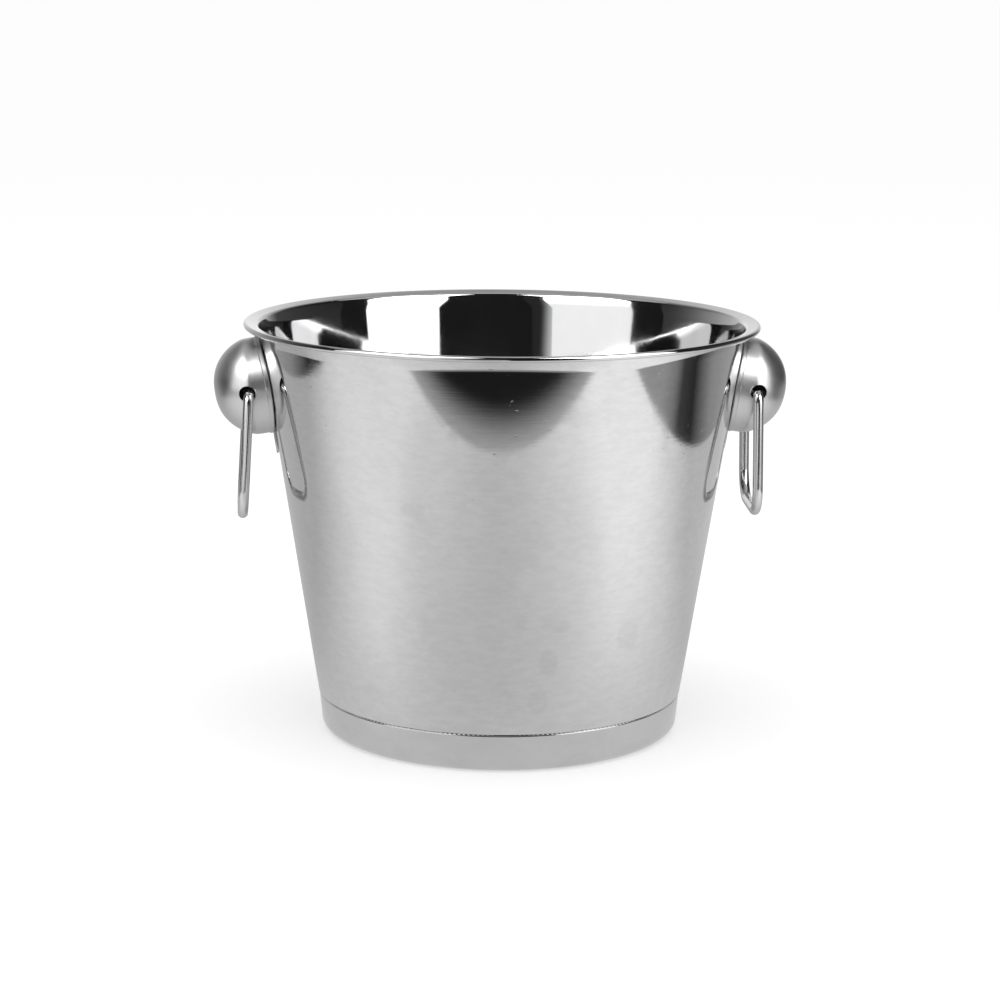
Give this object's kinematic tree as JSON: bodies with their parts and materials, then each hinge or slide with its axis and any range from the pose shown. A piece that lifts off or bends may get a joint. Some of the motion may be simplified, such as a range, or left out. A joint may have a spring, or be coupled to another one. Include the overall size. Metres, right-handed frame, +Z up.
{
  "type": "champagne bucket",
  "caption": "Tapered steel bucket with a rolled rim and lapped base pan, carried by swinging wire loops hinged in hollow side domes, for chilling bottles in ice.",
  "frame": {"origin": "middle of the underside of the base, on the plane that the rest ring stands on", "axes": "+Z up through the middle of the rim; the handles are on +X and -X, and -Y is the front"},
  "size_m": [0.2456, 0.22, 0.1775],
  "materials": {
    "polished_wall": "polished",
    "polished_pan": "polished",
    "polished_dome": "polished",
    "plate_steel": "satin",
    "rivet_steel": "satin",
    "bright_wire": "polished"
  },
  "bodies": {
    "bucket": {"bucket_wall": "polished_wall", "base_pan": "polished_pan", "left_backing_plate": "plate_steel", "left_handle_dome": "polished_dome", "left_upper_rivet": "rivet_steel", "left_lower_rivet": "rivet_steel", "right_backing_plate": "plate_steel", "right_handle_dome": "polished_dome", "right_upper_rivet": "rivet_steel", "right_lower_rivet": "rivet_steel"},
    "left_loop": {"left_handle_loop": "bright_wire"},
    "right_loop": {"right_handle_loop": "bright_wire"}
  },
  "joints": [
    {"name": "left_loop_swing", "type": "hinge", "parent": "bucket", "child": "left_loop", "pos_m": [-0.10824, 0, 0.14818], "axis": [-0.0309, 0.9995, 0], "range_deg": [-18.5, 171]},
    {"name": "right_loop_swing", "type": "hinge", "parent": "bucket", "child": "right_loop", "pos_m": [0.10824, 0, 0.14818], "axis": [-0.0309, -0.9995, 0], "range_deg": [-16.5, 173]}
  ]
}
